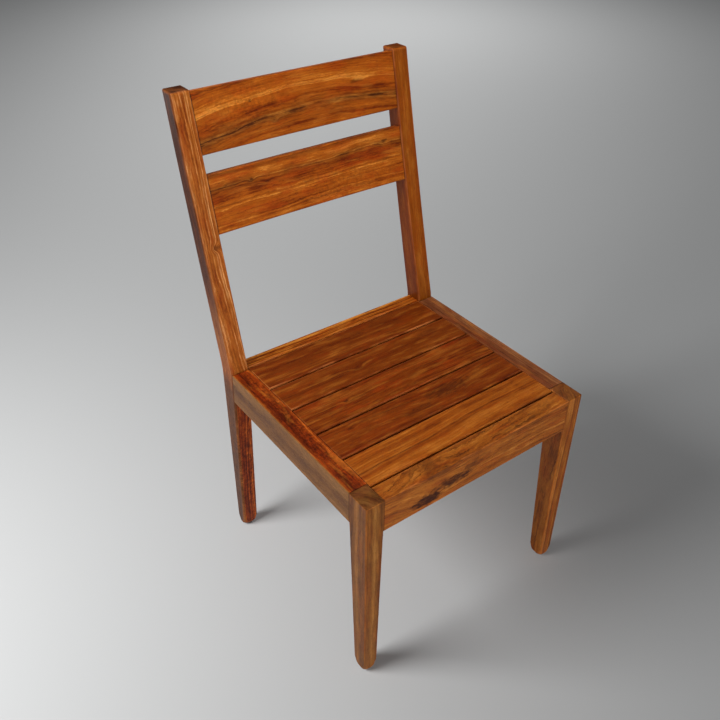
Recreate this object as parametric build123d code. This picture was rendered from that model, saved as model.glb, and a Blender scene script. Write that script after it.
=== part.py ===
from build123d import *
from math import hypot
import os

# Dining chair in solid hardwood.
# X runs from side to side, the sitter faces -Y, Z is up.  The pieces are laid out
# with the front face of the front legs at y = 0 and are moved at the end, so that
# the origin is the bottom centre of the whole chair.

# ---- driving sizes, mm ----
seat_height = 450.0
overall_width = 512.0
overall_height = 970.0
frame_depth = 442.0          # front leg face to rear post face, at the seat

member_width = 37.0          # width across X of legs, posts and side rails
leg_depth = 48.0
leg_foot_width = 29.0
leg_foot_depth = 32.0
post_depth = 42.4            # at the seat
post_top_depth = 32.6
post_foot_depth = 26.0
post_foot_width = 34.0
post_rake = 121.8            # how far the front face of a post leans back at its top
post_rake_curve = 2.7        # how far that face bows behind its own chord
post_kick = 22.0             # how far the foot of a post stands behind its seat level
post_bend_radius = 120.0

front_rail_depth = 36.5
front_rail_height = 72.0
side_rail_height = 69.0
rear_rail_depth = 31.0
rear_rail_inset = 5.0        # rear rail front face behind the post front face

slat_height = 110.0          # the board's own width, along its lean
slat_thickness = 20.0
slat_bow = 5.0
slat_setback = 1.5           # slat face behind the post face
top_slat_drop = 4.0          # post top to slat top
slat_gap = 34.5

plank_thickness = 18.0
plank_gap = 4.0
plank_rear_gap = 2.5
plank_end_gap = 1.0
plank_shares = (77.0, 76.5, 78.5, 74.0, 82.0)   # front to back

cleat_size = 20.0
block_leg = 55.0
block_end = 14.0
block_pad = 12.0             # wood left under the screw heads
block_height = 26.0
block_drop = 1.0             # cleat underside to block top
block_screw_margin = 1.0     # bore centre past the flat end of the block
screw_shares = (0.25, 0.75)  # where the screws stand across a plank's width

tenon_thickness = 10.0
tenon_length = 22.0
short_tenon_length = 13.0       # side rail into the rear post, in front of the rear rail
tenon_web = 4.0              # wood between two tenons that meet at right angles
tenon_root = 2.0             # how far a tenon on a sloping shoulder starts inside its rail
slat_tenon_length = 20.0
tenon_shoulder = 12.0        # shoulder above and below a tenon
front_tenon_setback = 12.0   # front face to tenon
side_tenon_setback = 13.0    # outer face to tenon
rear_tenon_setback = 12.0
slat_tenon_setback = 5.0

glide_diameter = 20.0
glide_height = 4.0
glide_rim = 1.3
nail_shank = 2.0
nail_head = 6.0
nail_head_height = 1.0
nail_length = 18.0
nail_recess = 2.0

screw_shank = 3.6
screw_head = 7.6
screw_head_height = 2.4
screw_length = 30.0
cleat_screw_length = 35.0
screw_point = 5.0
drive_slot = 4.4
drive_slot_width = 0.9
drive_slot_depth = 1.5

# ---- fits ----
mortise_clearance = 0.15     # each side of a tenon
mortise_end_clearance = 1.0
cleat_end_clearance = 0.5
pilot_clearance = 0.05       # round a screw or nail
pilot_end_clearance = 1.0
nail_head_clearance = 0.5
counterbore_clearance = 1.0

# ---- easing ----
long_edge = 2.0
small_edge = 1.2
plank_edge = 1.0
foot_edge = 1.0
rear_rail_edge = 2.4         # top front arris of the rear rail, under the sitter

# ---- working values ----
near = 1.0                   # how close an edge's middle is to a face it belongs to
cut_margin = 1.0             # how far a cut starts outside its piece

# ---- derived ----
half = overall_width / 2
inner = half - member_width
post_top_y = frame_depth + post_rake
kick_slope = post_kick / (seat_height - glide_height)
top_rise = overall_height - seat_height
rear_rail_y = frame_depth + rear_rail_inset
plank_half = inner - plank_end_gap
first_plank_y = front_rail_depth + plank_gap
plank_room = rear_rail_y - plank_rear_gap - first_plank_y - plank_gap * (len(plank_shares) - 1)
side_rail_z = seat_height - side_rail_height
front_rail_z = seat_height - front_rail_height
plank_z = seat_height - plank_thickness
cleat_z = plank_z - cleat_size
block_z = cleat_z - block_drop - block_height
leg_head_z = min(front_rail_z, side_rail_z)   # the leg is straight as far down as its rails reach


def span(x0, x1, y0, y1, z0, z1):
    """Solid box between two corners."""
    box = Box(x1 - x0, y1 - y0, z1 - z0)
    return Pos((x0 + x1) / 2, (y0 + y1) / 2, (z0 + z1) / 2) * box


def mortise(x0, x1, y0, y1, z0, z1, along):
    """Cut for a tenon box: looser on its sides, longer along axis number `along`."""
    room = [mortise_clearance] * 3
    room[along] = mortise_end_clearance
    rx, ry, rz = room
    return span(x0 - rx, x1 + rx, y0 - ry, y1 + ry, z0 - rz, z1 + rz)


def mirrored(shape):
    return mirror(shape, Plane.YZ)


def cylinder_along(origin, direction, radius, length):
    """Cylinder starting at origin and running along direction."""
    place = Plane(origin=origin, z_dir=direction)
    disc = place * Circle(radius)
    return extrude(disc, length)


def post_front(z):
    """Y of a post's front face at height z."""
    if z < seat_height:
        return frame_depth + (seat_height - z) * kick_slope
    t = (z - seat_height) / top_rise
    return frame_depth + post_rake * t + 4 * post_rake_curve * t * (1 - t)


def post_slope(z):
    """Backward lean of the front face above the seat, mm per mm."""
    t = (z - seat_height) / top_rise
    return (post_rake + 4 * post_rake_curve * (1 - 2 * t)) / top_rise


# ---- tenon boxes, right-hand side: x0, x1, y0, y1, z0, z1 ----
front_tenon_back = front_tenon_setback + tenon_thickness
rear_tenon_front = rear_rail_y + rear_tenon_setback
side_tenon_x0 = half - side_tenon_setback - tenon_thickness
side_tenon_x1 = half - side_tenon_setback
side_tenon_z0 = side_rail_z + tenon_shoulder
side_tenon_z1 = seat_height - tenon_shoulder
front_tenon = (
    inner, inner + tenon_length,
    front_tenon_setback, front_tenon_back,
    front_rail_z + tenon_shoulder, seat_height - tenon_shoulder,
)
side_front_tenon = (
    side_tenon_x0, side_tenon_x1,
    front_tenon_back + tenon_web, leg_depth,
    side_tenon_z0, side_tenon_z1,
)
side_rear_tenon = (
    side_tenon_x0, side_tenon_x1,
    frame_depth - tenon_root, frame_depth + short_tenon_length,
    side_tenon_z0, side_tenon_z1,
)
rear_tenon = (
    inner, inner + tenon_length,
    rear_tenon_front, rear_tenon_front + tenon_thickness,
    side_tenon_z0, side_tenon_z1,
)


# ---- screws ----
def screw(origin, direction, length):
    """Countersunk screw: origin is the centre of the head's outer face."""
    r_head = screw_head / 2
    r = screw_shank / 2
    outline = Polyline(
        (0, 0), (r_head, 0), (r, screw_head_height), (r, length - screw_point),
        (0, length), (0, 0),
    )
    body = revolve(Plane.XZ * make_face(outline), Axis.Z)
    slot_a = span(-drive_slot / 2, drive_slot / 2, -drive_slot_width / 2,
                  drive_slot_width / 2, -cut_margin, drive_slot_depth)
    slot_b = Rot(0, 0, 90) * slot_a
    body = body - slot_a - slot_b
    return Plane(origin=origin, z_dir=direction).location * body


def pilot(origin, direction, length):
    """Hole for a screw, countersunk at its start."""
    r = screw_shank / 2 + pilot_clearance
    r_head = screw_head / 2 + pilot_clearance
    outline = Polyline(
        (0, -cut_margin), (r_head, -cut_margin), (r_head, 0), (r, screw_head_height),
        (r, length + pilot_end_clearance), (0, length + pilot_end_clearance),
        (0, -cut_margin),
    )
    body = revolve(Plane.XZ * make_face(outline), Axis.Z)
    return Plane(origin=origin, z_dir=direction).location * body


plank_edges = []
y = first_plank_y
for share in plank_shares:
    width = plank_room * share / sum(plank_shares)
    plank_edges.append((y, y + width))
    y += width + plank_gap

# positions of fasteners on the right-hand side: (head centre, direction, length)
plank_screw_places = []
for y0, y1 in plank_edges:
    for share in screw_shares:
        spot = (inner - cleat_size / 2, y0 + (y1 - y0) * share, cleat_z)
        plank_screw_places.append((spot, (0, 0, 1), screw_length))
cleat_screw_places = []
for y0, y1 in plank_edges[1:]:
    spot = (inner - cleat_size, y0 - plank_gap / 2, cleat_z + cleat_size / 2)
    cleat_screw_places.append((spot, (1, 0, 0), cleat_screw_length))

block_screw_offset = block_leg - block_end + block_screw_margin
block_mid_z = block_z + block_height / 2
block_screw_places = []
for corner_y, way in ((front_rail_depth, 1), (rear_rail_y, -1)):
    spot = (inner - block_screw_offset, corner_y + way * block_pad, block_mid_z)
    block_screw_places.append((spot, (0, -way, 0), screw_length))
    spot = (inner - block_pad, corner_y + way * block_screw_offset, block_mid_z)
    block_screw_places.append((spot, (1, 0, 0), screw_length))


def other_side(place):
    """The same fastener on the left-hand side."""
    (x, y, z), (dx, dy, dz), length = place
    return (-x, y, z), (-dx, dy, dz), length


def both_sides(places):
    return places + [other_side(place) for place in places]


drill_plank = [pilot(*place) for place in both_sides(plank_screw_places)]
drill_cleat = [pilot(*place) for place in both_sides(cleat_screw_places)]
drill_block = [pilot(*place) for place in both_sides(block_screw_places)]


def drilled(shape, tools):
    """Cut every tool that reaches the shape."""
    box = shape.bounding_box()
    for tool in tools:
        other = tool.bounding_box()
        apart = False
        for a0, a1, b0, b1 in (
            (box.min.X, box.max.X, other.min.X, other.max.X),
            (box.min.Y, box.max.Y, other.min.Y, other.max.Y),
            (box.min.Z, box.max.Z, other.min.Z, other.max.Z),
        ):
            if a1 <= b0 or b1 <= a0:
                apart = True
        if not apart:
            shape = shape - tool
    return shape


# ---- feet ----
front_foot = (half - leg_foot_width / 2, leg_foot_depth / 2)
rear_foot = (half - post_foot_width / 2, frame_depth + post_kick + post_foot_depth / 2)
feet = []
for foot_x, foot_y in (front_foot, rear_foot):
    feet.append((foot_x, foot_y))
    feet.append((-foot_x, foot_y))


def nail(x, y):
    outline = Polyline(
        (0, 0), (nail_head / 2, 0), (nail_head / 2, nail_head_height),
        (nail_shank / 2, nail_head_height), (nail_shank / 2, nail_length - nail_shank),
        (0, nail_length), (0, 0),
    )
    body = revolve(Plane.XZ * make_face(outline), Axis.Z)
    return Pos(x, y, nail_recess - nail_head_height) * body


def glide(x, y):
    disc = Pos(0, 0, glide_height / 2) * Cylinder(glide_diameter / 2, glide_height)
    rim = disc.edges().filter_by(GeomType.CIRCLE).sort_by(Axis.Z)[0]
    disc = fillet(rim, glide_rim)
    recess = Pos(0, 0, nail_recess / 2) * Cylinder(nail_head / 2 + nail_head_clearance, nail_recess)
    hole = Pos(0, 0, glide_height / 2) * Cylinder(nail_shank / 2 + pilot_clearance, glide_height)
    return Pos(x, y, 0) * (disc - recess - hole)


def nail_hole(x, y):
    depth = nail_recess - nail_head_height + nail_length + pilot_end_clearance
    hole = Cylinder(nail_shank / 2 + pilot_clearance, depth)
    return Pos(x, y, depth / 2) * hole


# ---- front leg, right ----
def front_leg():
    head = span(inner, half, 0, leg_depth, leg_head_z, seat_height)
    corner = head.edges().filter_by(Axis.Z).sort_by_distance((half, 0, seat_height))[0]
    head = fillet(corner, long_edge)
    top_face = head.faces().sort_by(Axis.Z)[-1]
    rim = []
    for edge in top_face.edges():
        mid = edge.center()
        if mid.Y > leg_depth - near or mid.X < inner + near:
            continue
        rim.append(edge)
    head = fillet(rim, small_edge)
    upper = Pos(half - member_width / 2, leg_depth / 2, leg_head_z)
    upper = upper * RectangleRounded(member_width, leg_depth, long_edge)
    lower = Pos(half - leg_foot_width / 2, leg_foot_depth / 2, glide_height)
    lower = lower * RectangleRounded(leg_foot_width, leg_foot_depth, long_edge)
    shank = loft([lower, upper])
    foot_face = shank.faces().sort_by(Axis.Z)[0]
    shank = chamfer(foot_face.edges(), foot_edge)
    leg = head + shank
    leg = leg - mortise(*front_tenon, 0) - mortise(*side_front_tenon, 1)
    return leg - nail_hole(*front_foot)


# ---- slats, built on a plane that leans with the posts ----
def slat_plane(z_mid):
    slope = post_slope(z_mid)
    return Plane(origin=(0, post_front(z_mid) + slat_setback, z_mid), x_dir=(1, 0, 0),
                 z_dir=(0, slope, 1))


def slat_tenon(plane, side, extra, end):
    x0 = side * (inner - end)
    x1 = side * (inner + slat_tenon_length + end)
    height = slat_height - 2 * tenon_shoulder + 2 * extra
    body = Box(abs(x1 - x0), tenon_thickness + 2 * extra, height)
    body = Pos((x0 + x1) / 2, slat_tenon_setback + tenon_thickness / 2, 0) * body
    return plane.location * body


def slat(z_mid):
    plane = slat_plane(z_mid)
    face = make_face([
        ThreePointArc((-inner, 0), (0, slat_bow), (inner, 0)),
        Line((inner, 0), (inner, slat_thickness)),
        ThreePointArc((inner, slat_thickness), (0, slat_bow + slat_thickness),
                      (-inner, slat_thickness)),
        Line((-inner, slat_thickness), (-inner, 0)),
    ])
    board = extrude(face, slat_height / 2, both=True)
    long_edges = [edge for edge in board.edges() if edge.length > inner]
    board = fillet(long_edges, long_edge)
    board = plane.location * board
    for side in (-1, 1):
        board = board + slat_tenon(plane, side, 0, 0)
    return board


slat_rise = slat_height * top_rise / hypot(top_rise, post_rake)
top_slat_z = overall_height - top_slat_drop - slat_rise / 2
lower_slat_z = top_slat_z - slat_rise - slat_gap


# ---- rear post, right: leg below the seat and back post above it in one piece ----
def rear_post():
    z_mid = seat_height + top_rise / 2
    depth_mid = (post_depth + post_top_depth) / 2
    front_seat = (frame_depth, seat_height)
    front_mid = (post_front(z_mid), z_mid)
    front_top = (post_top_y, overall_height)
    rear_top = (post_top_y + post_top_depth, overall_height)
    rear_mid = (post_front(z_mid) + depth_mid, z_mid)
    rear_seat = (frame_depth + post_depth, seat_height)
    front_toe = (frame_depth + post_kick, glide_height)
    rear_toe = (frame_depth + post_kick + post_foot_depth, glide_height)
    outline = make_face([
        ThreePointArc(front_seat, front_mid, front_top),
        Line(front_top, rear_top),
        ThreePointArc(rear_top, rear_mid, rear_seat),
        Line(rear_seat, rear_toe),
        Line(rear_toe, front_toe),
        Line(front_toe, front_seat),
    ])
    post = extrude(Plane.YZ.offset(inner) * outline, member_width)
    wedge = make_face(Polyline(
        (inner, side_rail_z), (half - post_foot_width, glide_height), (inner, glide_height),
        (inner, side_rail_z),
    ))
    post = post - extrude(Plane.XZ * wedge, -2 * frame_depth)
    bend = post.edges().filter_by(Axis.X)
    bend = bend.sort_by_distance((half, frame_depth + post_depth, seat_height))[0]
    post = fillet(bend, post_bend_radius)
    rims = []
    for edge in post.edges():
        z = edge.center().Z
        runs_up = abs(edge.tangent_at(0.5).Z) > 0.5
        if runs_up or z > overall_height - near or z < glide_height + near:
            rims.append(edge)
    post = fillet(rims, long_edge)
    post = post - mortise(*side_rear_tenon, 1) - mortise(*rear_tenon, 0)
    for z in (top_slat_z, lower_slat_z):
        post = post - slat_tenon(slat_plane(z), 1, mortise_clearance, mortise_end_clearance)
    return post - nail_hole(*rear_foot)


# ---- rails ----
def front_rail():
    rail = span(-inner, inner, 0, front_rail_depth, front_rail_z, seat_height)
    rims = []
    for edge in rail.edges().filter_by(Axis.X):
        mid = edge.center()
        if mid.Z > seat_height - near or mid.Y < near:
            rims.append(edge)
    rail = fillet(rims, small_edge)
    tenon = span(*front_tenon)
    rail = rail + tenon + mirrored(tenon)
    return drilled(rail, drill_block)


def rear_rail():
    rail = span(-inner, inner, rear_rail_y, rear_rail_y + rear_rail_depth,
                side_rail_z, seat_height)
    rims = rail.edges().filter_by(Axis.X)
    top_front = rims.sort_by_distance((0, rear_rail_y, seat_height))[0]
    rail = fillet(top_front, rear_rail_edge)
    others = []
    for edge in rail.edges().filter_by(Axis.X):
        mid = edge.center()
        if mid.Y > rear_rail_y + rear_rail_depth - near:
            others.append(edge)
    rail = fillet(others, long_edge)
    tenon = span(*rear_tenon)
    rail = rail + tenon + mirrored(tenon)
    return drilled(rail, drill_block)


def side_rail():
    foot_y = frame_depth + side_rail_height * kick_slope
    outline = Polyline(
        (leg_depth, side_rail_z), (leg_depth, seat_height), (frame_depth, seat_height),
        (foot_y, side_rail_z), (leg_depth, side_rail_z),
    )
    rail = extrude(Plane.YZ.offset(inner) * make_face(outline), member_width)
    rims = []
    for edge in rail.edges():
        mid = edge.center()
        if abs(edge.tangent_at(0.5).Y) < 0.9:
            continue
        if mid.X > half - near or mid.Z > seat_height - near:
            rims.append(edge)
    rail = fillet(rims, small_edge)
    rail = rail + span(*side_front_tenon) + span(*side_rear_tenon)
    return drilled(rail, drill_cleat + drill_block)


# ---- seat planks, cleats and corner blocks ----
def seat_plank(y0, y1):
    plank = span(-plank_half, plank_half, y0, y1, plank_z, seat_height)
    plank = fillet(plank.faces().sort_by(Axis.Z)[-1].edges(), plank_edge)
    return drilled(plank, drill_plank)


def seat_cleat():
    cleat = span(inner - cleat_size, inner, front_rail_depth + cleat_end_clearance,
                 rear_rail_y - cleat_end_clearance, cleat_z, plank_z)
    rim = cleat.edges().filter_by(Axis.Y).sort_by_distance((0, frame_depth / 2, 0))[0]
    cleat = chamfer(rim, small_edge)
    return drilled(cleat, drill_plank + drill_cleat)


def corner_block(corner_y, way):
    """Block in the corner between a cross rail and the right side rail."""
    outline = Polyline(
        (0, 0), (-block_leg, 0), (-block_leg, way * block_end),
        (-block_end, way * block_leg), (0, way * block_leg), (0, 0),
    )
    block = extrude(make_face(outline), block_height, dir=(0, 0, 1))
    block = Pos(inner, corner_y, block_z) * block
    bore = screw_head / 2 + counterbore_clearance
    for spot, direction, length in block_screw_places:
        if abs(spot[1] - corner_y) > block_leg:
            continue
        outward = (-direction[0], -direction[1], -direction[2])
        block = block - cylinder_along(spot, outward, bore, block_leg)
    return drilled(block, drill_block)


# ---- assembly ----
def group(shapes):
    """Separate solids kept together in one node."""
    return Compound(children=shapes)


nodes = {}
leg = front_leg()
post = rear_post()
rail = side_rail()
cleat = seat_cleat()
nodes["front_leg_right"] = leg
nodes["front_leg_left"] = mirrored(leg)
nodes["rear_post_right"] = post
nodes["rear_post_left"] = mirrored(post)
nodes["front_rail"] = front_rail()
nodes["rear_rail"] = rear_rail()
nodes["side_rail_right"] = rail
nodes["side_rail_left"] = mirrored(rail)
nodes["top_back_slat"] = slat(top_slat_z)
nodes["lower_back_slat"] = slat(lower_slat_z)
for number, (y0, y1) in enumerate(plank_edges, 1):
    nodes[f"seat_plank_{number}"] = seat_plank(y0, y1)
nodes["seat_cleat_right"] = cleat
nodes["seat_cleat_left"] = mirrored(cleat)
for place, corner_y, way in (("front", front_rail_depth, 1), ("rear", rear_rail_y, -1)):
    block = corner_block(corner_y, way)
    nodes[f"corner_block_{place}_right"] = block
    nodes[f"corner_block_{place}_left"] = mirrored(block)


nodes["seat_plank_screws"] = group([screw(*place) for place in both_sides(plank_screw_places)])
nodes["cleat_screws"] = group([screw(*place) for place in both_sides(cleat_screw_places)])
nodes["corner_block_screws"] = group([screw(*place) for place in both_sides(block_screw_places)])
nodes["foot_glides"] = group([glide(*foot) for foot in feet])
nodes["glide_nails"] = group([nail(*foot) for foot in feet])

front_y = min(shape.bounding_box().min.Y for shape in nodes.values())
rear_y = max(shape.bounding_box().max.Y for shape in nodes.values())
centre = Pos(0, -(front_y + rear_y) / 2, 0)

os.makedirs("parts", exist_ok=True)
for name, shape in nodes.items():
    export_step(centre * shape, f"parts/{name}.step")
    print(name, round(shape.volume, 1), len(shape.solids()))
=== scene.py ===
import math

import bpy
import numpy as np
from mathutils import Matrix, Vector, noise


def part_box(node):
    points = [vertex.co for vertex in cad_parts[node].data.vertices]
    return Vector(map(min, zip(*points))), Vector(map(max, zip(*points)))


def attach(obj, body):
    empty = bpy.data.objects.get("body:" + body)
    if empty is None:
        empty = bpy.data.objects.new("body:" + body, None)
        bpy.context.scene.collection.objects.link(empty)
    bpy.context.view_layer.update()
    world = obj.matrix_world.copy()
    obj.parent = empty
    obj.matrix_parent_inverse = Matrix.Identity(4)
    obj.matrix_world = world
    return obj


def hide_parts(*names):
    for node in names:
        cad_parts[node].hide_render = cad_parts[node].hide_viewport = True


# Looks of a hardwood dining chair.  Every wooden member that shows is rebuilt as a finely
# divided board with eased arrises, around the section that its CAD node has there.  The strips,
# blocks, screws and glides under the seat and feet keep their CAD mesh and get a material.
# Sizes are in metres unless a name ends in _mm.

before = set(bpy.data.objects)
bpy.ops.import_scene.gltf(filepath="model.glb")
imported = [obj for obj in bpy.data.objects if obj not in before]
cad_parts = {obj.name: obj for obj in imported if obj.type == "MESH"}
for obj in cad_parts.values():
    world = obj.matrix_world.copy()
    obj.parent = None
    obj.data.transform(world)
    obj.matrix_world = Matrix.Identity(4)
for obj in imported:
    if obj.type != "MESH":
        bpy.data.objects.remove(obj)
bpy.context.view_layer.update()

MM = 0.001
X, Z = 0, 2                  # columns of a point

# ---- arrises and hand finish ----
JOINT_EDGE = 0.5 * MM        # arris where two members meet flush
EASED_EDGE = 2.0 * MM        # arris that a hand reaches
TOP_EDGE = 1.2 * MM
PLANK_EDGE = 1.0 * MM
PLANK_FRONT_EDGE = 3.0 * MM  # each plank's top front arris, which catches the light
FOOT_EDGE = 6.0 * MM         # rim of a foot's sole
FOOT_CORNER = 9.0 * MM       # how much rounder a foot's upright arrises get at the floor
FOOT_CORNER_RISE = 22 * MM   # height over which they do
POST_EDGE = 3.0 * MM
POST_TOP_EDGE = 4.0 * MM
SEAT_REAR_EDGE = 2.4 * MM    # rear rail's top front arris
SMALLEST_EDGE = 0.05 * MM    # keeps a rounded corner's points apart
MEETING_BLEND = (-6 * MM, 2 * MM)   # heights about a rail's bottom where a leg's arris sharpens
HAND_WAVE = 0.22 * MM        # how far a planed face wanders
PLANK_WAVE = 1.4 * HAND_WAVE
WAVE_FADE = 20 * MM          # no wander at a member's ends, all of it this far in
LONG_WAVES = 11              # how many of that wander's waves there are in a metre
SHORT_WAVES = 45
SHORT_WAVE_SHARE = 0.3

# ---- how finely a member is divided ----
ARC_STEPS = 4                # facets round an arris
SUPPORT = 1.5 * MM           # first row of points beside an arris
ROW_LENGTH = 12 * MM         # rows along a member
COLUMN_WIDTH = 7 * MM        # columns across a face
NORMAL_WEIGHT = 80           # how much large faces rule the shading of arrises

# ---- how far inside a CAD end its section is read, clear of the end's own arris ----
LEG_FOOT_CLEAR = 1.2 * MM
LEG_TOP_CLEAR = 1.3 * MM
POST_END_CLEAR = 2.1 * MM
SLAT_END_CLEAR = 0.2 * MM

# ---- camera ----
LENS_MM = 40
SENSOR_MM = 36
CAMERA_PLACE = (-0.79498, -1.01182, 1.39680)
CAMERA_TURN = 36.3231        # degrees from +Y towards +X
CAMERA_TILT = 35.9459        # degrees below level
CAMERA_ROLL = 0.3136

# ---- studio ----
FLOOR_REACH = 30.0
WORLD_STRENGTH = 0.05


# ======================= reading the CAD frame =======================

def edge_ends(node):
    """Both ends of every edge of a CAD node's mesh."""
    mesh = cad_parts[node].data
    points = np.zeros(len(mesh.vertices) * 3)
    mesh.vertices.foreach_get("co", points)
    points = points.reshape(-1, 3)
    pairs = np.zeros(len(mesh.edges) * 2, int)
    mesh.edges.foreach_get("vertices", pairs)
    return points[pairs[0::2]], points[pairs[1::2]]


def section_points(ends, axis, value):
    """Points where a node's mesh crosses the plane axis = value."""
    a, b = ends
    da = a[:, axis] - value
    db = b[:, axis] - value
    hit = (da * db <= 0) & (da != db)
    share = da[hit] / (da[hit] - db[hit])
    return a[hit] + (b[hit] - a[hit]) * share[:, None]


def extent(points, direction):
    """Least and greatest distance of points along a direction."""
    along = points @ np.array(direction)
    return float(along.min()), float(along.max())


# ======================= building a member =======================

def row_of_points(rect, radii, counts):
    """Rounded rectangle as points, each with how close it is to an arris (1 on it)."""
    u0, u1, v0, v1 = rect
    corners = ((u0, v0, 1, 1, 180), (u1, v0, -1, 1, 270), (u1, v1, -1, -1, 0), (u0, v1, 1, -1, 90))
    arcs = []
    for (cu, cv, du, dv, start), radius in zip(corners, radii):
        arc = []
        for step in range(ARC_STEPS + 1):
            angle = math.radians(start + 90 * step / ARC_STEPS)
            arc.append((cu + du * radius + radius * math.cos(angle),
                        cv + dv * radius + radius * math.sin(angle)))
        arcs.append(arc)
    points = []
    for number, arc in enumerate(arcs):
        points.extend((u, v, 1.0) for u, v in arc)
        start = Vector(arc[-1])
        end = Vector(arcs[(number + 1) % 4][0])
        length = max((end - start).length, 1e-9)
        support = min(SUPPORT / length, 0.3)
        count = counts[number % 2]
        for step in range(count + 1):
            share = support + (1 - 2 * support) * step / count
            u, v = start.lerp(end, share)
            points.append((u, v, 0.0))
    return points


def member(name, node_names, section, length, ends=(EASED_EDGE, EASED_EDGE), wave=HAND_WAVE,
           seams=(0.0, 0.0), shape=None):
    """A board swept along its length.

    section(t) gives origin, axes U and V, the rectangle in them and its four radii at t,
    which runs from length[0] to length[1].  ends are the roundings of the two end faces,
    seams say whether an end butts against another member, shape moves a finished point.
    Faces only ever wander inwards, so a member stays inside its CAD node.
    """
    t0, t1 = length
    stations = []                # t, how far the section shrinks, and 0 or 1 at an end
    for step in range(ARC_STEPS + 1):
        angle = math.radians(90 * step / ARC_STEPS)
        stations.append((t0 + ends[0] * (1 - math.cos(angle)), ends[0] * (1 - math.sin(angle)), 0))
    inner0 = t0 + max(ends[0], JOINT_EDGE) + SUPPORT
    inner1 = t1 - max(ends[1], JOINT_EDGE) - SUPPORT
    count = max(2, round((inner1 - inner0) / ROW_LENGTH))
    for step in range(count + 1):
        stations.append((inner0 + (inner1 - inner0) * step / count, 0.0, None))
    for step in range(ARC_STEPS, -1, -1):
        angle = math.radians(90 * step / ARC_STEPS)
        stations.append((t1 - ends[1] * (1 - math.cos(angle)), ends[1] * (1 - math.sin(angle)), 1))
    _, _, _, rect, _ = section((t0 + t1) / 2)
    counts = (max(1, round((rect[1] - rect[0]) / COLUMN_WIDTH)),
              max(1, round((rect[3] - rect[2]) / COLUMN_WIDTH)))
    seed = Vector((len(name) * 3.1, ord(name[0]) * 0.7, ord(name[-1]) * 1.3))
    points, edges, joints, depths = [], [], [], []
    for t, inset, end in stations:
        origin, u_axis, v_axis, rect, radii = section(t)
        small = (rect[0] + inset, rect[1] - inset, rect[2] + inset, rect[3] - inset)
        fitted = [max(radius - inset, SMALLEST_EDGE) for radius in radii]
        at_joint = 0.0 if end is None else seams[end]
        fade = min(1.0, max(0.0, min(t - t0, t1 - t) / WAVE_FADE))
        mid_u, mid_v = (small[0] + small[1]) / 2, (small[2] + small[3]) / 2
        for u, v, closeness in row_of_points(small, fitted, counts):
            spot = origin + u_axis * u + v_axis * v
            drift = noise.noise(spot * LONG_WAVES + seed) * wave * fade
            drift += noise.noise(spot * SHORT_WAVES - seed) * wave * SHORT_WAVE_SHARE * fade
            out = Vector((u - mid_u, v - mid_v))
            out = out.normalized() if out.length > 0 else out
            spot = spot - (u_axis * out.x + v_axis * out.y) * abs(drift)
            if shape:
                spot = shape(spot)
            points.append(spot)
            edges.append(1.0 if end is not None and not at_joint else closeness)
            joints.append(at_joint)
            depths.append((v - mid_v) / MM)
    around = len(points) // len(stations)
    faces = []
    for row in range(len(stations) - 1):
        for column in range(around):
            a = row * around + column
            b = row * around + (column + 1) % around
            faces.append((a, b, b + around, a + around))
    faces.append(tuple(range(around - 1, -1, -1)))
    last = (len(stations) - 1) * around
    faces.append(tuple(range(last, last + around)))
    # joint marks ends that meet another member, where the materials paint shade
    labels = {"arris": edges, "joint": joints, "depth_mm": depths}
    return add_piece(name, points, faces, labels, node_names)


def add_piece(name, points, faces, labels, node_names):
    """Object from points and faces, standing in for CAD nodes; labels are values per point."""
    mesh = bpy.data.meshes.new(name)
    mesh.from_pydata([tuple(point) for point in points], [], faces)
    mesh.update()
    for label, values in labels.items():
        attribute = mesh.attributes.new(label, "FLOAT", "POINT")
        attribute.data.foreach_set("value", np.array(values, np.float32))
    mesh.shade_smooth()
    piece = bpy.data.objects.new(name, mesh)
    bpy.context.scene.collection.objects.link(piece)
    volume = sum(face.area * face.normal.dot(face.center) for face in mesh.polygons)
    if volume < 0:
        mesh.flip_normals()
    weighted = piece.modifiers.new("weighted_normals", "WEIGHTED_NORMAL")
    weighted.weight = NORMAL_WEIGHT
    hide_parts(*node_names)
    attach(piece, "root")
    return piece


# ======================= the chair's members =======================

SIDES = (("left", -1), ("right", 1))
x_axis = Vector((1, 0, 0))
y_axis = Vector((0, 1, 0))
z_axis = Vector((0, 0, 1))
rail_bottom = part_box("front_rail")[0].z
half_between_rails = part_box("side_rail_right")[0].x


def smooth_step(value, low, high):
    """0 at low, 1 at high, and smooth between."""
    share = min(1.0, max(0.0, (value - low) / (high - low)))
    return share * share * (3 - 2 * share)


def foot_corner(height):
    """Extra radius of a foot's upright arrises at a height above its sole."""
    return FOOT_CORNER * (1 - smooth_step(height, 0, FOOT_CORNER_RISE))


def level_section(edges, z, lowest, highest):
    """Rectangle round an upright member's level section, read between two heights."""
    spots = section_points(edges, Z, min(max(z, lowest), highest))
    return (*extent(spots, x_axis), *extent(spots, y_axis))


def front_leg(side, sign):
    """Square leg, whose arrises beside the rails sharpen where the rails meet it flush."""
    node = f"front_leg_{side}"
    edges = edge_ends(node)
    low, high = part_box(node)

    def section(z):
        rect = level_section(edges, z, low.z + LEG_FOOT_CLEAR, high.z - LEG_TOP_CLEAR)
        flush = smooth_step(z, *(rail_bottom + offset for offset in MEETING_BLEND))
        meeting = EASED_EDGE + (JOINT_EDGE - EASED_EDGE) * flush
        radii = [meeting, meeting, meeting, meeting]
        radii[0 if sign < 0 else 1] = EASED_EDGE
        radii = [radius + foot_corner(z - low.z) for radius in radii]
        return Vector((0, 0, z)), x_axis, y_axis, rect, radii

    return member(f"leg_front_{side}", [node], section, (low.z, high.z),
                  ends=(FOOT_EDGE, TOP_EDGE))


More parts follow.
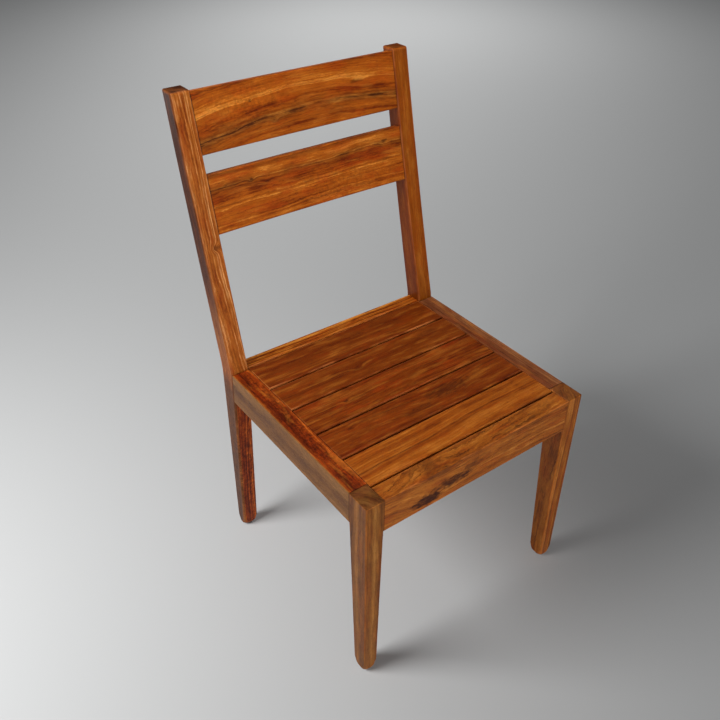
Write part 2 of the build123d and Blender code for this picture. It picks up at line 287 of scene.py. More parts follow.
def rear_post(side):
    """Rear leg and leaning back post in one."""
    node = f"rear_post_{side}"
    edges = edge_ends(node)
    low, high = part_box(node)

    def section(z):
        rect = level_section(edges, z, low.z + POST_END_CLEAR, high.z - POST_END_CLEAR)
        radii = (POST_EDGE + foot_corner(z - low.z),) * 4
        return Vector((0, 0, z)), x_axis, y_axis, rect, radii

    return member(f"post_rear_{side}", [node], section, (low.z, high.z),
                  ends=(FOOT_EDGE, POST_TOP_EDGE))


def cross_rail(name, node, radii):
    """Rail that runs from side to side between the legs or posts."""
    spots = section_points(edge_ends(node), X, 0.0)
    y0, y1 = extent(spots, y_axis)
    z0, z1 = extent(spots, z_axis)

    def section(x):
        return Vector((x, 0, 0)), y_axis, z_axis, (y0, y1, z0, z1), radii

    return member(name, [node], section, (-half_between_rails, half_between_rails),
                  ends=(JOINT_EDGE, JOINT_EDGE), seams=(1.0, 1.0))


def side_rail(side, sign):
    """Rail from a front leg to a rear post, its rear end cut to the post's lean."""
    node = f"side_rail_{side}"
    low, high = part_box(node)
    leg_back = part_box(f"front_leg_{side}")[1].y
    post_ends = edge_ends(f"rear_post_{side}")
    at_seat = extent(section_points(post_ends, Z, high.z), y_axis)[0]
    at_foot = extent(section_points(post_ends, Z, low.z), y_axis)[0]
    lean = (at_foot - at_seat) / (high.z - low.z)

    def section(y):
        inner, outer = JOINT_EDGE, TOP_EDGE
        radii = (inner, outer, outer, inner) if sign > 0 else (outer, inner, inner, outer)
        return Vector((0, y, 0)), x_axis, z_axis, (low.x, high.x, low.z, high.z), radii

    def follow_post(spot):
        share = (spot.y - leg_back) / (at_seat - leg_back)
        return spot + y_axis * share * lean * (high.z - spot.z)

    return member(f"rail_side_{side}", [node], section, (leg_back, at_seat),
                  ends=(JOINT_EDGE, JOINT_EDGE), seams=(1.0, 1.0), shape=follow_post)


def slat_axes(node):
    """Directions up the slat and through it, from the section at its middle."""
    spots = section_points(edge_ends(node), X, 0.0)
    flat = spots[:, 1:] - spots[:, 1:].mean(0)
    _, _, directions = np.linalg.svd(flat)
    up = Vector((0, directions[0][0], directions[0][1]))
    if up.z < 0:
        up = -up
    return up, up.cross(x_axis).normalized()


def back_slat(place):
    """Bowed slat between the posts."""
    node = f"{place}_back_slat"
    edges = edge_ends(node)
    up, through = slat_axes(node)
    if through.y < 0:
        through = -through
    last = half_between_rails - SLAT_END_CLEAR

    def section(x):
        spots = section_points(edges, X, max(-last, min(last, x)))
        rect = (*extent(spots, up), *extent(spots, through))
        return Vector((x, 0, 0)), up, through, rect, (EASED_EDGE,) * 4

    return member(f"slat_{place}", [node], section, (-half_between_rails, half_between_rails),
                  ends=(JOINT_EDGE, JOINT_EDGE), seams=(1.0, 1.0))


def seat_plank(number):
    """Plank across the seat, most rounded at its top front arris."""
    node = f"seat_plank_{number}"
    low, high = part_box(node)
    radii = (JOINT_EDGE, JOINT_EDGE, PLANK_EDGE, PLANK_FRONT_EDGE)

    def section(x):
        return Vector((x, 0, 0)), y_axis, z_axis, (low.y, high.y, low.z, high.z), radii

    return member(f"plank_{number}", [node], section, (low.x, high.x),
                  ends=(PLANK_EDGE, PLANK_EDGE), wave=PLANK_WAVE)


# ======================= materials =======================

def srgb(red, green, blue):
    """Linear colour of a screen colour from 0 to 255."""
    out = []
    for value in (red, green, blue):
        value /= 255
        out.append(value / 12.92 if value <= 0.04045 else ((value + 0.055) / 1.055) ** 2.4)
    return (*out, 1.0)


class Graph:
    """Short calls that build one material's nodes."""

    def __init__(self, name):
        self.material = bpy.data.materials.new(name)
        self.material.use_nodes = True
        self.tree = self.material.node_tree
        self.tree.nodes.clear()
        self.shader = self.tree.nodes.new("ShaderNodeBsdfPrincipled")
        output = self.tree.nodes.new("ShaderNodeOutputMaterial")
        self.tree.links.new(self.shader.outputs[0], output.inputs[0])

    def place(self):
        """Place on the object, in metres."""
        return self.tree.nodes.new("ShaderNodeTexCoord").outputs["Object"]

    def put(self, value, socket):
        """Links a socket's value, or sets a constant one."""
        if isinstance(value, bpy.types.NodeSocket):
            self.tree.links.new(value, socket)
        else:
            socket.default_value = value

    def math(self, operation, a, b=0.0, c=0.0):
        node = self.tree.nodes.new("ShaderNodeMath")
        node.operation = operation
        for value, socket in zip((a, b, c), node.inputs):
            self.put(value, socket)
        return node.outputs[0]

    def vector(self, operation, a, b):
        node = self.tree.nodes.new("ShaderNodeVectorMath")
        node.operation = operation
        self.put(a, node.inputs[0])
        self.put(b, node.inputs[1])
        return node.outputs["Value" if operation == "DOT_PRODUCT" else "Vector"]

    def combine(self, x, y, z):
        node = self.tree.nodes.new("ShaderNodeCombineXYZ")
        for value, socket in zip((x, y, z), node.inputs):
            self.put(value, socket)
        return node.outputs[0]

    def noise(self, place, detail=2.0, roughness=0.5, along_a_line=False):
        """Noise about one unit in grain, over a vector or along a single value."""
        node = self.tree.nodes.new("ShaderNodeTexNoise")
        if along_a_line:
            node.noise_dimensions = "1D"
        self.put(place, node.inputs["W" if along_a_line else "Vector"])
        node.inputs["Scale"].default_value = 1.0
        node.inputs["Detail"].default_value = detail
        node.inputs["Roughness"].default_value = roughness
        return node.outputs[0]

    def between(self, value, low, high, to_low=0.0, to_high=1.0, smooth=True):
        """Value scaled from low..high to to_low..to_high, and held beyond them."""
        node = self.tree.nodes.new("ShaderNodeMapRange")
        node.interpolation_type = "SMOOTHSTEP" if smooth else "LINEAR"
        self.put(value, node.inputs["Value"])
        for label, number in (("From Min", low), ("From Max", high), ("To Min", to_low),
                              ("To Max", to_high)):
            node.inputs[label].default_value = number
        return node.outputs[0]

    def rise(self, value, none, full):
        """0 at none, 1 at full, whichever of them is larger."""
        if none < full:
            return self.between(value, none, full)
        return self.between(value, full, none, 1.0, 0.0)

    def ellipse(self, x, y, middle, size):
        """Squared distance from the middle of an ellipse, 1 on its edge."""
        a = self.math("DIVIDE", self.math("SUBTRACT", x, middle[0]), size[0])
        b = self.math("DIVIDE", self.math("SUBTRACT", y, middle[1]), size[1])
        return self.math("ADD", self.math("MULTIPLY", a, a), self.math("MULTIPLY", b, b))

    def ramp(self, value, stops):
        node = self.tree.nodes.new("ShaderNodeValToRGB")
        self.put(value, node.inputs[0])
        elements = node.color_ramp.elements
        while len(elements) < len(stops):
            elements.new(0.5)
        for element, (place, colour) in zip(elements, stops):
            element.position = place
            element.color = colour
        return node.outputs[0]

    def mix(self, factor, a, b, blend="MIX"):
        node = self.tree.nodes.new("ShaderNodeMix")
        node.data_type = "RGBA"
        node.blend_type = blend
        self.put(factor, node.inputs["Factor"])
        self.put(a, node.inputs["A"])
        self.put(b, node.inputs["B"])
        return node.outputs["Result"]

    def attribute(self, name):
        node = self.tree.nodes.new("ShaderNodeAttribute")
        node.attribute_name = name
        return node.outputs["Fac"]

    def bump(self, height, distance, strength):
        node = self.tree.nodes.new("ShaderNodeBump")
        node.inputs["Strength"].default_value = strength
        node.inputs["Distance"].default_value = distance
        self.put(height, node.inputs["Height"])
        return node.outputs[0]


# dark, low, middle and high tone of each kind of board, as screen colours
AMBER = ((96, 32, 3), (146, 68, 9), (166, 86, 18), (204, 128, 48))
RED = ((78, 22, 2), (110, 43, 4), (124, 55, 8), (150, 80, 25))
WARM = ((108, 42, 4), (142, 68, 12), (160, 83, 18), (188, 110, 38))
OLIVE = ((86, 44, 12), (120, 67, 20), (137, 84, 30), (164, 108, 48))
FRONT = ((88, 42, 10), (132, 67, 16), (150, 84, 24), (180, 112, 46))
TAN = ((118, 48, 6), (154, 78, 20), (174, 98, 34), (212, 146, 86))
RUSSET = ((108, 40, 3), (136, 62, 6), (150, 74, 10), (174, 100, 30))
FLAME = ((70, 18, 2), (108, 36, 5), (140, 56, 8), (190, 96, 30))
# painted reflection: the pale olive haze of a side face that mirrors the bright room around it
REFLECTION_HAZE_TONES = ((102, 58, 22), (126, 78, 32), (137, 89, 39), (156, 104, 52))
# painted shade of a leg's outer face below the seat
SHADED_FACE_TONES = ((72, 32, 10), (96, 50, 18), (106, 58, 24), (126, 76, 38))
UMBER = ((82, 38, 18), (112, 60, 32), (126, 74, 42), (152, 98, 60))
# painted shade for a face or end that the light hardly reaches
DEEP_SHADE_TONES = ((44, 14, 2), (66, 26, 5), (84, 36, 8), (112, 54, 16))
TONE_PLACES = (0.0, 0.33, 0.68, 1.0)

# colours that all the boards share
RED_PATCH = srgb(154, 54, 7)
AMBER_PATCH = srgb(190, 114, 38)
VEIN_BROWN = srgb(54, 20, 6)
PORE_BROWN = srgb(48, 20, 8)
# pale colour of a painted highlight with some wear on arrises, and the dark colour that some boards'
# arrises get instead
ARRIS_HIGHLIGHT_PALE = srgb(202, 118, 58)
ARRIS_DARKENED = srgb(58, 24, 8)

WOOD_SPECULAR = 0.14         # oiled wood, without a film to mirror the room
BARE_WOOD_SPECULAR = 0.2
WOOD_ROUGHNESS = 0.33
TONE_SPAN = 0.115            # how far the mixed noises stray from their middle
LARGEST_SWIRL_MM = 9.0       # how far a knot pushes the rings aside at most
EVERYWHERE = (-1000, -999)   # no board reaches that far, so all of it is past the rise


def tone_stops(tones):
    """Ramp stops for a board's four tones."""
    return [(share, srgb(*tint)) for share, tint in zip(TONE_PLACES, tones)]


def hardwood(name, origin, along, across, tones=AMBER, pith=(-150.0, 20.0), band_mm=24.0,
             lean=0.0, arch=0.0, warp_mm=9.0, ripple_mm=2.0, contrast=1.0, red=0.35, lines=0.5,
             veins=(), knots=(), curl=None, seed=0.0, bright=1.0, zones=(), darker_foot=None,
             follows_bend=False, arris_tint=0.26):
    """Figured hardwood for one board.

    The board's grain runs along `along`; `across` is its width.  Distances below are in mm
    from origin: x along, u across, t through.  pith is the (u, t) place of the tree's heart,
    lean and arch tilt and bend the grain lines, warp_mm and ripple_mm are how far they wander
    slowly and quickly, veins are (distance from pith, width, darkness), knots are (x, u, size
    along, size across, darkness), curl is (x, u, size along, size across, amount), darker_foot
    is (x with all, x with none, brightness), and zones are parts of the board with other
    tones, on some boards painted shade, and on one a painted reflection, on a face or end:
    (tones, (u with none, u with all), (x with none, x with all)).  The last argument is how
    much the arrises are made paler with a painted highlight and some wear, and they are
    darkened where it is less than 0.
    """
    g = Graph(name)
    through = along.cross(across)
    place = g.vector("SUBTRACT", g.place(), tuple(origin))
    x = g.vector("DOT_PRODUCT", place, tuple(along / MM))
    u = g.vector("DOT_PRODUCT", place, tuple(across / MM))
    t = g.vector("DOT_PRODUCT", place, tuple(through / MM))
    if follows_bend:
        t = g.attribute("depth_mm")

    def field(sx, su, st, detail, roughness, offset, width=u):
        """Noise whose grains are sx, su and st mm long, across u or across the rings.

        detail and roughness are the noise's own, offset sets it apart from the others.
        """
        vector = g.combine(g.math("MULTIPLY_ADD", x, 1 / sx, seed + offset),
                           g.math("MULTIPLY_ADD", width, 1 / su, seed * 1.7 - offset),
                           g.math("MULTIPLY_ADD", t, 1 / st, offset * 0.6))
        return g.noise(vector, detail, roughness)

    # growth rings: distance from the pith, bent by slow and quick wandering
    du = g.math("SUBTRACT", u, pith[0])
    dt = g.math("SUBTRACT", t, pith[1])
    ring = g.math("SQRT", g.math("ADD", g.math("MULTIPLY", du, du), g.math("MULTIPLY", dt, dt)))
    ring = g.math("MULTIPLY_ADD", x, -lean, ring)
    if arch:
        ring = g.math("MULTIPLY_ADD", g.math("MULTIPLY", x, x), -arch / 1000, ring)
    slow = g.math("SUBTRACT", field(240, 75, 75, 2, 0.5, 3.1), 0.5)
    quick = g.math("SUBTRACT", field(52, 13, 13, 3, 0.55, 7.7), 0.5)
    ring = g.math("MULTIPLY_ADD", slow, 2 * warp_mm, ring)
    ring = g.math("MULTIPLY_ADD", quick, 2 * ripple_mm, ring)
    knot_dark = None
    for kx, ku, size_x, size_u, dark in knots:
        away = g.ellipse(x, u, (kx, ku), (size_x, size_u))
        swirl = g.math("EXPONENT", g.math("MULTIPLY", away, -0.45))
        ring = g.math("MULTIPLY_ADD", swirl, min(1.4 * size_u, LARGEST_SWIRL_MM), ring)
        ragged = g.math("SUBTRACT", field(14, 5, 8, 3, 0.65, 71.0), 0.5)
        ragged = g.math("MULTIPLY_ADD", ragged, 4.0, away)
        core = g.math("MULTIPLY", g.between(ragged, -0.2, 1.5, 1.0, 0.0), dark)
        knot_dark = core if knot_dark is None else g.math("MAXIMUM", knot_dark, core)

    # tone: broad bands, finer rings, and streaks and fibres that follow them
    wiggle = g.math("SUBTRACT", field(10, 6, 9, 3, 0.6, 83.0), 0.5)
    wavy = g.math("MULTIPLY_ADD", wiggle, 1.3 * ripple_mm, ring)
    broad = g.noise(g.math("MULTIPLY_ADD", ring, 1 / band_mm, seed * 3.3), 2.5, 0.6, True)
    fine = g.noise(g.math("MULTIPLY_ADD", wavy, 1 / 3.6, seed * 5.1), 2.5, 0.6, True)
    streak = field(58, 3.4, 7.0, 4, 0.68, 11.3, ring)
    fibre = field(24, 1.5, 3.5, 3, 0.68, 13.9, wavy)
    cloud = field(55, 20, 20, 4, 0.6, 17.9)
    tone = g.math("MULTIPLY", broad, 0.30)
    for part, weight in ((fine, 0.18), (streak, 0.16), (fibre, 0.16), (cloud, 0.20)):
        tone = g.math("MULTIPLY_ADD", part, weight, tone)
    half = TONE_SPAN / contrast
    tone = g.between(tone, 0.5 - half, 0.5 + half, smooth=False)
    colour = g.ramp(tone, tone_stops(tones))

    # red and amber patches, with ragged edges along the grain
    patch = field(62, 17, 20, 3, 0.6, 23.3)
    patch = g.math("MULTIPLY_ADD", g.math("SUBTRACT", streak, 0.5), 0.35, patch)
    colour = g.mix(g.math("MULTIPLY", g.between(patch, 0.47, 0.64), red), colour, RED_PATCH)
    amber = g.between(field(85, 12, 20, 3, 0.6, 41.0, ring), 0.5, 0.68)
    colour = g.mix(g.math("MULTIPLY", amber, 0.32), colour, AMBER_PATCH)
    # other tones over parts of a board; on some boards they are painted shade, on one a painted
    # reflection, on a face or an end
    for other_tones, u_span, x_span in zones:
        mask = g.math("MULTIPLY", g.rise(u, *u_span), g.rise(x, *x_span))
        colour = g.mix(mask, colour, g.ramp(tone, tone_stops(other_tones)))

    # thin dark lines and the veins named for this board
    strength = g.between(field(110, 24, 30, 2, 0.5, 29.0), 0.34, 0.60)
    thin = g.noise(g.math("MULTIPLY_ADD", wavy, 1 / 4.2, seed * 7.9), 3.0, 0.7, True)
    dark = g.math("MULTIPLY", g.between(thin, 0.56, 0.70), strength)
    dark = g.math("MULTIPLY", dark, g.between(fibre, 0.36, 0.60, 0.35, 1.0))
    dark = g.math("MULTIPLY", dark, lines)
    broken = g.math("SUBTRACT", field(30, 4, 8, 4, 0.7, 31.7, ring), 0.5)
    come_and_go = g.between(field(60, 40, 40, 2, 0.6, 37.0), 0.30, 0.56, 0.5, 1.0)
    for distance, width, depth in veins:
        off = g.math("ABSOLUTE", g.math("SUBTRACT", ring, distance))
        core = g.between(g.math("MULTIPLY_ADD", broken, 4.5 * width, off), 0.0, width, 1.0, 0.0)
        halo = g.between(g.math("MULTIPLY_ADD", broken, 9 * width, off), 0.0, 5 * width, 0.7, 0.0)
        vein = g.math("MULTIPLY", g.math("MAXIMUM", core, halo), come_and_go)
        dark = g.math("MAXIMUM", dark, g.math("MULTIPLY", vein, depth))
    if knot_dark is not None:
        dark = g.math("MAXIMUM", dark, knot_dark)
    colour = g.mix(dark, colour, VEIN_BROWN)

    # pores, cut lengthways as short dark dashes
    pore = g.between(field(7.5, 0.6, 0.6, 2, 0.5, 43.0), 0.58, 0.68)
    colour = g.mix(g.math("MULTIPLY", pore, 0.5), colour, PORE_BROWN)

    # rippled figure across the grain
    shade = g.between(field(26, 9, 9, 3, 0.6, 51.0), 0.3, 0.7, 0.90, 1.10, smooth=False)
    if curl:
        cx, cu, size_x, size_u, amount = curl
        away = g.ellipse(x, u, (cx, cu), (size_x, size_u))
        where = g.math("EXPONENT", g.math("MULTIPLY", away, -1.0))
        waves = field(6.0, 8.0, 17.0, 3, 0.65, 57.0)
        waves = g.between(waves, 0.36, 0.64, -1.0, 1.0, smooth=False)
        shade = g.math("MULTIPLY_ADD", g.math("MULTIPLY", waves, where), amount, shade)

    # end grain drinks more finish; arrises get a pale painted highlight with some wear, and are
    # darkened on some boards; joints get painted shade, a dark line where members meet
    normal = g.tree.nodes.new("ShaderNodeNewGeometry").outputs["Normal"]
    facing = g.math("ABSOLUTE", g.vector("DOT_PRODUCT", normal, tuple(along)))
    end_grain = g.between(facing, 0.72, 0.95)
    shade = g.math("MULTIPLY", shade, g.math("MULTIPLY_ADD", end_grain, -0.48, 1.0))
    # patches along the arrises that get their tint: a pale painted highlight with some wear, darkened
    # instead on boards whose tint is below 0
    arris_patches = g.between(field(60, 30, 30, 3, 0.55, 61.0), 0.36, 0.66)
    arris_tint_mask = g.math("MULTIPLY", g.attribute("arris"), arris_patches)
    arris_tint_mask = g.math("MULTIPLY", arris_tint_mask, g.math("SUBTRACT", 1.0, g.attribute("joint")))
    # painted shade: a member's end that meets another is darkened, for the shade in the narrow gap
    # where they meet
    shade = g.math("MULTIPLY", shade, g.math("MULTIPLY_ADD", g.attribute("joint"), -0.5, 1.0))
    # pale for the painted highlight with some wear, dark where the arris tint is below 0
    edge_colour = ARRIS_HIGHLIGHT_PALE if arris_tint > 0 else ARRIS_DARKENED
    colour = g.mix(g.math("MULTIPLY", arris_tint_mask, abs(arris_tint)), colour, edge_colour)
    if darker_foot:
        low, high, share = darker_foot
        shade = g.math("MULTIPLY", shade, g.between(x, low, high, share, 1.0))
    shade = g.math("MULTIPLY", shade, bright)
    colour = g.mix(1.0, colour, g.combine(shade, shade, shade), "MULTIPLY")

    g.put(colour, g.shader.inputs["Base Color"])
    rough = g.math("MULTIPLY_ADD", pore, 0.22, WOOD_ROUGHNESS)
    rough = g.math("MULTIPLY_ADD", streak, 0.10, rough)
    rough = g.math("MULTIPLY_ADD", end_grain, 0.12, rough)
    rough = g.math("MULTIPLY_ADD", arris_tint_mask, 0.08, rough)
    g.put(rough, g.shader.inputs["Roughness"])
    height = g.math("MULTIPLY_ADD", pore, -0.8, g.math("MULTIPLY", streak, 0.7))
    g.put(g.bump(height, 0.12 * MM, 0.55), g.shader.inputs["Normal"])
    g.shader.inputs["Specular IOR Level"].default_value = WOOD_SPECULAR
    return g.material


def inner_wood(name, seed):
    """Plain sawn hardwood without finish, as used under the seat."""
    g = Graph(name)
    place = g.place()
    grain = g.noise(g.vector("ADD", g.vector("MULTIPLY", place, (9, 60, 260)), (seed, seed, seed)), 4)
    saw = g.noise(g.vector("MULTIPLY", place, (900, 40, 40)), 2)
    tone = g.math("MULTIPLY_ADD", saw, 0.25, g.math("MULTIPLY", grain, 0.75))
    stops = ((0.30, srgb(104, 66, 38)), (0.5, srgb(146, 100, 62)), (0.7, srgb(172, 126, 84)))
    g.put(g.ramp(tone, stops), g.shader.inputs["Base Color"])
    g.put(g.between(grain, 0.3, 0.7, 0.62, 0.82), g.shader.inputs["Roughness"])
    g.put(g.bump(tone, 0.2 * MM, 0.5), g.shader.inputs["Normal"])
    g.shader.inputs["Specular IOR Level"].default_value = BARE_WOOD_SPECULAR
    return g.material


def zinc_steel(name):
    """Zinc-plated screw steel, lightly clouded and scuffed."""
    g = Graph(name)
    place = g.place()
    cloud = g.noise(g.vector("MULTIPLY", place, (420, 420, 420)), 3)
    scuff = g.noise(g.vector("MULTIPLY", place, (2600, 2600, 500)), 2)
    stops = ((0.35, srgb(150, 150, 142)), (0.5, srgb(178, 178, 172)), (0.68, srgb(196, 192, 176)))
    g.put(g.ramp(cloud, stops), g.shader.inputs["Base Color"])
    g.shader.inputs["Metallic"].default_value = 1.0
    g.put(g.between(scuff, 0.35, 0.65, 0.24, 0.48), g.shader.inputs["Roughness"])
    g.put(g.bump(scuff, 0.03 * MM, 0.4), g.shader.inputs["Normal"])
    return g.material


def glide_nylon(name):
    """Dark moulded nylon, matt, scratched where it slides."""
    g = Graph(name)
    place = g.place()
    mottle = g.noise(g.vector("MULTIPLY", place, (700, 700, 700)), 3)
    scratch = g.noise(g.vector("MULTIPLY", place, (2400, 180, 300)), 2)
    tone = g.math("MULTIPLY_ADD", scratch, 0.5, g.math("MULTIPLY", mottle, 0.5))
    stops = ((0.35, srgb(30, 28, 27)), (0.5, srgb(42, 39, 37)), (0.68, srgb(70, 66, 62)))
    g.put(g.ramp(tone, stops), g.shader.inputs["Base Color"])
    g.put(g.between(tone, 0.35, 0.65, 0.5, 0.72), g.shader.inputs["Roughness"])
    g.put(g.bump(tone, 0.05 * MM, 0.4), g.shader.inputs["Normal"])
    return g.material


def paint(piece, material):
    """Gives a piece one material in place of its own."""
    piece.data.materials.clear()
    piece.data.materials.append(material)


# ======================= camera, floor and lights =======================

def set_camera():
    """Looks down on the chair's front left corner, as the photograph does."""
    data = bpy.data.cameras.new("camera")
    data.lens = LENS_MM
    data.sensor_width = SENSOR_MM
    camera = bpy.data.objects.new("camera", data)
    bpy.context.scene.collection.objects.link(camera)
    angles = (CAMERA_TURN, CAMERA_TILT, CAMERA_ROLL)
    turn, tilt, roll = (math.radians(angle) for angle in angles)
    forward = Vector((math.sin(turn) * math.cos(tilt), math.cos(turn) * math.cos(tilt),
                      -math.sin(tilt)))
    right = Vector((math.cos(turn), -math.sin(turn), 0))
    up = right.cross(forward)
    side = right * math.cos(roll) + up * math.sin(roll)
    top = up * math.cos(roll) - right * math.sin(roll)
    axes = Matrix((side, top, -forward)).transposed()
    camera.matrix_world = Matrix.Translation(CAMERA_PLACE) @ axes.to_4x4()
    bpy.context.scene.camera = camera


def add_stage():
    """Pale flat floor, matt all over."""
    material = bpy.data.materials.new("studio_floor")
    material.use_nodes = True
    shader = material.node_tree.nodes["Principled BSDF"]
    shader.inputs["Base Color"].default_value = srgb(195, 196, 196)
    shader.inputs["Roughness"].default_value = 1.0
    shader.inputs["Specular IOR Level"].default_value = 0.0
    mesh = bpy.data.meshes.new("floor")
    corners = [(x * FLOOR_REACH, y * FLOOR_REACH, 0) for x, y in ((-1, -1), (1, -1), (1, 1), (-1, 1))]
    mesh.from_pydata(corners, [], [(0, 1, 2, 3)])
    mesh.materials.append(material)
    floor = bpy.data.objects.new("floor", mesh)
    bpy.context.scene.collection.objects.link(floor)
    return floor


def share_out(light, floor, state):
    """Keeps a light off the floor ("EXCLUDE") or gives it to the floor alone ("INCLUDE")."""
    group = bpy.data.collections.new(f"{light.name}_{state.lower()}")
    group.objects.link(floor)
    light.light_linking.receiver_collection = group
    group.collection_objects[0].light_linking.link_state = state


def area_light(name, place, target, size, power, shadow=True):
    """Round soft light, size metres across, that faces the target."""
    data = bpy.data.lights.new(name, "AREA")
    data.shape = "DISK"
    data.size = size
    data.energy = power
    data.use_shadow = shadow
    light = bpy.data.objects.new(name, data)
    bpy.context.scene.collection.objects.link(light)
    light.location = place
    light.rotation_euler = (Vector(target) - Vector(place)).to_track_quat("-Z", "Y").to_euler()
    return light


def add_lights(floor):
    """Soft lights for the chair, and others for the floor's own light and shade."""
    world = bpy.data.worlds.new("studio")
    bpy.context.scene.world = world
    world.use_nodes = True
    background = world.node_tree.nodes["Background"]
    background.inputs[0].default_value = (0.95, 0.97, 1.0, 1)
    background.inputs[1].default_value = WORLD_STRENGTH
    on_chair = (
        area_light("front", (-0.5, -2.7, 0.5), (0, 0, 0.5), 1.2, 35),
        area_light("front_low", (-1.3, -2.0, 1.0), (0, 0, 0.6), 1.0, 7),
        area_light("above_left", (-1.4, 0.2, 2.5), (-1.0, 0.2, 0), 1.6, 44),
        area_light("above", (0.0, -0.1, 2.6), (0.0, -0.1, 0), 1.0, 15),
        area_light("left", (-2.0, -0.1, 1.3), (-0.6, -0.1, 0), 0.4, 4),
        area_light("fill_right", (2.5, 0.3, 0.6), (0, 0.1, 0.5), 1.3, 13),
        area_light("fill_behind", (-0.4, 2.7, 0.6), (0, 0.2, 0.6), 1.3, 12),
    )
    on_floor = (
        area_light("floor_key", (-1.7, 0.35, 1.5), (-0.5, 0.1, 0), 1.1, 46),
        area_light("backdrop_near", (0.9, 2.2, 2.4), (0.9, 2.2, 0), 1.4, 25, shadow=False),
        area_light("backdrop_far", (2.9, 3.9, 2.6), (2.9, 3.9, 0), 1.5, 61, shadow=False),
        area_light("backdrop_front", (3.6, -3.8, 2.4), (3.6, -3.8, 0), 2.0, 34, shadow=False),
        area_light("backdrop_left", (-4.6, 0.6, 2.4), (-4.6, 0.6, 0), 2.0, 32, shadow=False),
    )
    for light in on_chair:
        share_out(light, floor, "EXCLUDE")
    for light in on_floor:
        share_out(light, floor, "INCLUDE")
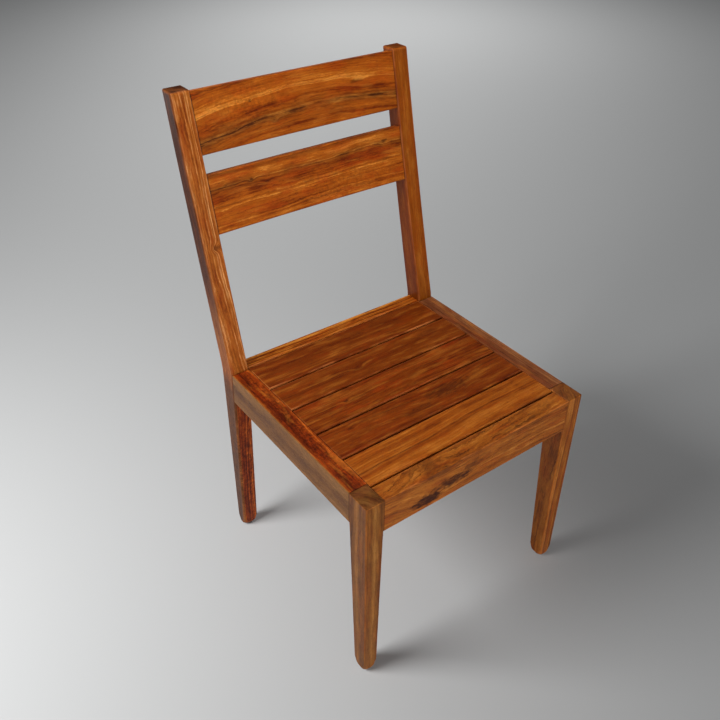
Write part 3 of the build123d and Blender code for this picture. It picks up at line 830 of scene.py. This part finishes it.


# ======================= each board's own figure, with painted highlights and shade ===

# A positive arris tint paints a pale highlight with some wear on a board's arrises, strongest on the
# rear planks and the front and rear rails; a negative one darkens the slats' arrises. Zones paint
# shade, and on one board a reflection, on some faces.
LOOKS = {
    "slat_top": dict(
        tones=AMBER, bright=1.24, red=0.35, lines=0.7, seed=2.4, arris_tint=-0.45,
        lean=0.016, arch=-0.34, ripple_mm=3.2, curl=(-120, 16, 90, 34, 0.24),
        veins=((137, 4.0, 0.95), (118, 1.2, 0.4)),
        knots=((130, 14, 16, 4, 0.6), (-107, 19, 3, 2.5, 0.7), (-62, -25, 5, 4, 0.5))),
    "slat_lower": dict(
        tones=AMBER, bright=1.21, contrast=1.12, red=0.45, lines=0.6, seed=8.1, arris_tint=-0.45,
        lean=0.012, ripple_mm=4.0, curl=(60, -20, 150, 40, 0.16),
        veins=((178, 3.0, 0.8), (202, 1.2, 0.5)),
        knots=((-132, 27, 5, 4, 0.8), (-100, 18, 7, 3, 0.8), (178, 34, 9, 4, 0.8))),
    "plank_5": dict(
        tones=RED, bright=0.95, contrast=0.85, red=0.2, lines=0.5, seed=3.0, arris_tint=0.7),
    "plank_4": dict(
        tones=RED, bright=0.92, contrast=0.85, red=0.2, lines=0.5, seed=14.0, arris_tint=0.4,
        knots=((150, 12, 42, 9, 0.35), (-40, -4, 12, 7, 0.3))),
    "plank_3": dict(
        tones=RED, bright=0.98, contrast=1.1, red=0.4, lines=0.8, seed=25.0, arris_tint=0.2,
        knots=((-120, 6, 7, 3.5, 0.7),)),
    "plank_2": dict(
        tones=RED, bright=0.98, contrast=1.05, red=0.2, lines=0.7, seed=36.0, arris_tint=0.12,
        knots=((60, 6, 60, 17, 0.6), (-20, -12, 40, 8, 0.4), (-160, 18, 9, 4, 0.6))),
    "plank_1": dict(
        tones=WARM, bright=0.96, red=0.2, lines=0.9, seed=47.0, arris_tint=0.12,
        lean=0.03, ripple_mm=1.4),
    "rail_front": dict(
        tones=FRONT, bright=1.15, contrast=1.35, red=0.2, lines=0.9, seed=58.0, arris_tint=0.45,
        pith=(-140.0, -60.0), lean=-0.05, band_mm=16, ripple_mm=3.4,
        knots=((-125, -18, 34, 13, 1.15), (-66, -5, 48, 11, 0.95),
               (-20, 8, 26, 7, 0.6), (-108, 31, 34, 9, 0.55))),
    "rail_rear": dict(
        tones=AMBER, bright=1.08, contrast=1.6, red=0.4, lines=0.9, seed=69.0, arris_tint=0.6,
        band_mm=9),
    "rail_side_left": dict(
        tones=FLAME, contrast=1.2, red=0.5, lines=0.9, seed=70.0, arris_tint=0.1,
        pith=(-60.0, -40.0), warp_mm=16, ripple_mm=6.0, curl=(0, 4, 300, 13, 0.5),
        # its outer face gets the painted reflection haze of a side that mirrors the bright room
        zones=((REFLECTION_HAZE_TONES, (-15.5, -18.0), EVERYWHERE),)),
    "rail_side_right": dict(
        tones=UMBER, contrast=1.4, red=0.2, lines=0.7, seed=81.0, arris_tint=0.15),
    "post_rear_left": dict(
        tones=TAN, bright=1.04, contrast=1.55, red=0.3, lines=0.8, seed=92.0,
        pith=(-90.0, -80.0), band_mm=12, ripple_mm=2.6, follows_bend=True,
        curl=(-300, 0, 190, 60, 0.42), knots=((210, 8, 5, 9, 0.5),),
        # below the seat darker, redder tones; its outer face gets painted shade above and below the
        # seat, and its top end painted shade as well
        zones=((FLAME, EVERYWHERE, (-30, -110)), (SHADED_FACE_TONES, (-13.0, -15.0), (-30, -90)),
               (DEEP_SHADE_TONES, (-15.5, -18.0), (-60, 200)), (DEEP_SHADE_TONES, EVERYWHERE, (479, 483)))),
    "post_rear_right": dict(
        tones=RUSSET, bright=0.99, red=0.2, lines=0.5, seed=103.0,
        pith=(-90.0, -80.0), follows_bend=True, darker_foot=(-110, 60, 0.8),
        # its inner face gets darker tones as painted shade
        zones=((RED, (-15.5, -18.0), EVERYWHERE),)),
    "leg_front_left": dict(
        tones=OLIVE, bright=0.95, contrast=1.15, red=0.15, lines=0.7, seed=114.0,
        pith=(-80.0, -60.0), band_mm=12),
    "leg_front_right": dict(
        tones=FRONT, bright=1.04, contrast=1.3, red=0.2, lines=0.7, seed=125.0,
        pith=(70.0, -50.0), band_mm=14),
}


def finish_board(piece, along, across):
    """Paints a board with its own wood, grain along one axis and width across another."""
    corners = [Vector(corner) for corner in piece.bound_box]
    centre = sum(corners, Vector()) / len(corners)
    paint(piece, hardwood(f"{piece.name}_wood", centre, along, across, **LOOKS[piece.name]))


# ======================= putting it together =======================

bpy.context.scene.view_settings.view_transform = "Standard"
set_camera()
add_lights(add_stage())

FRONT_RAIL_EDGES = (TOP_EDGE, JOINT_EDGE, JOINT_EDGE, TOP_EDGE)
REAR_RAIL_EDGES = (JOINT_EDGE, EASED_EDGE, EASED_EDGE, SEAT_REAR_EDGE)
PLANKS = range(1, 6)

for side, sign in SIDES:
    finish_board(front_leg(side, sign), z_axis, x_axis)
for side, sign in SIDES:
    finish_board(rear_post(side), z_axis, x_axis)
for side, sign in SIDES:
    finish_board(side_rail(side, sign), y_axis, x_axis)
finish_board(cross_rail("rail_front", "front_rail", FRONT_RAIL_EDGES), x_axis, z_axis)
finish_board(cross_rail("rail_rear", "rear_rail", REAR_RAIL_EDGES), x_axis, y_axis)
for place in ("top", "lower"):
    finish_board(back_slat(place), x_axis, slat_axes(f"{place}_back_slat")[0])
for number in PLANKS:
    finish_board(seat_plank(number), x_axis, y_axis)

for number, node in enumerate(sorted(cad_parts)):
    if node.startswith(("seat_cleat", "corner_block_front", "corner_block_rear")):
        paint(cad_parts[node], inner_wood(f"{node}_wood", 2.7 * number))
steel = zinc_steel("screw_steel")
for node in ("seat_plank_screws", "cleat_screws", "corner_block_screws", "glide_nails"):
    paint(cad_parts[node], steel)
paint(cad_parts["foot_glides"], glide_nylon("glide_nylon"))
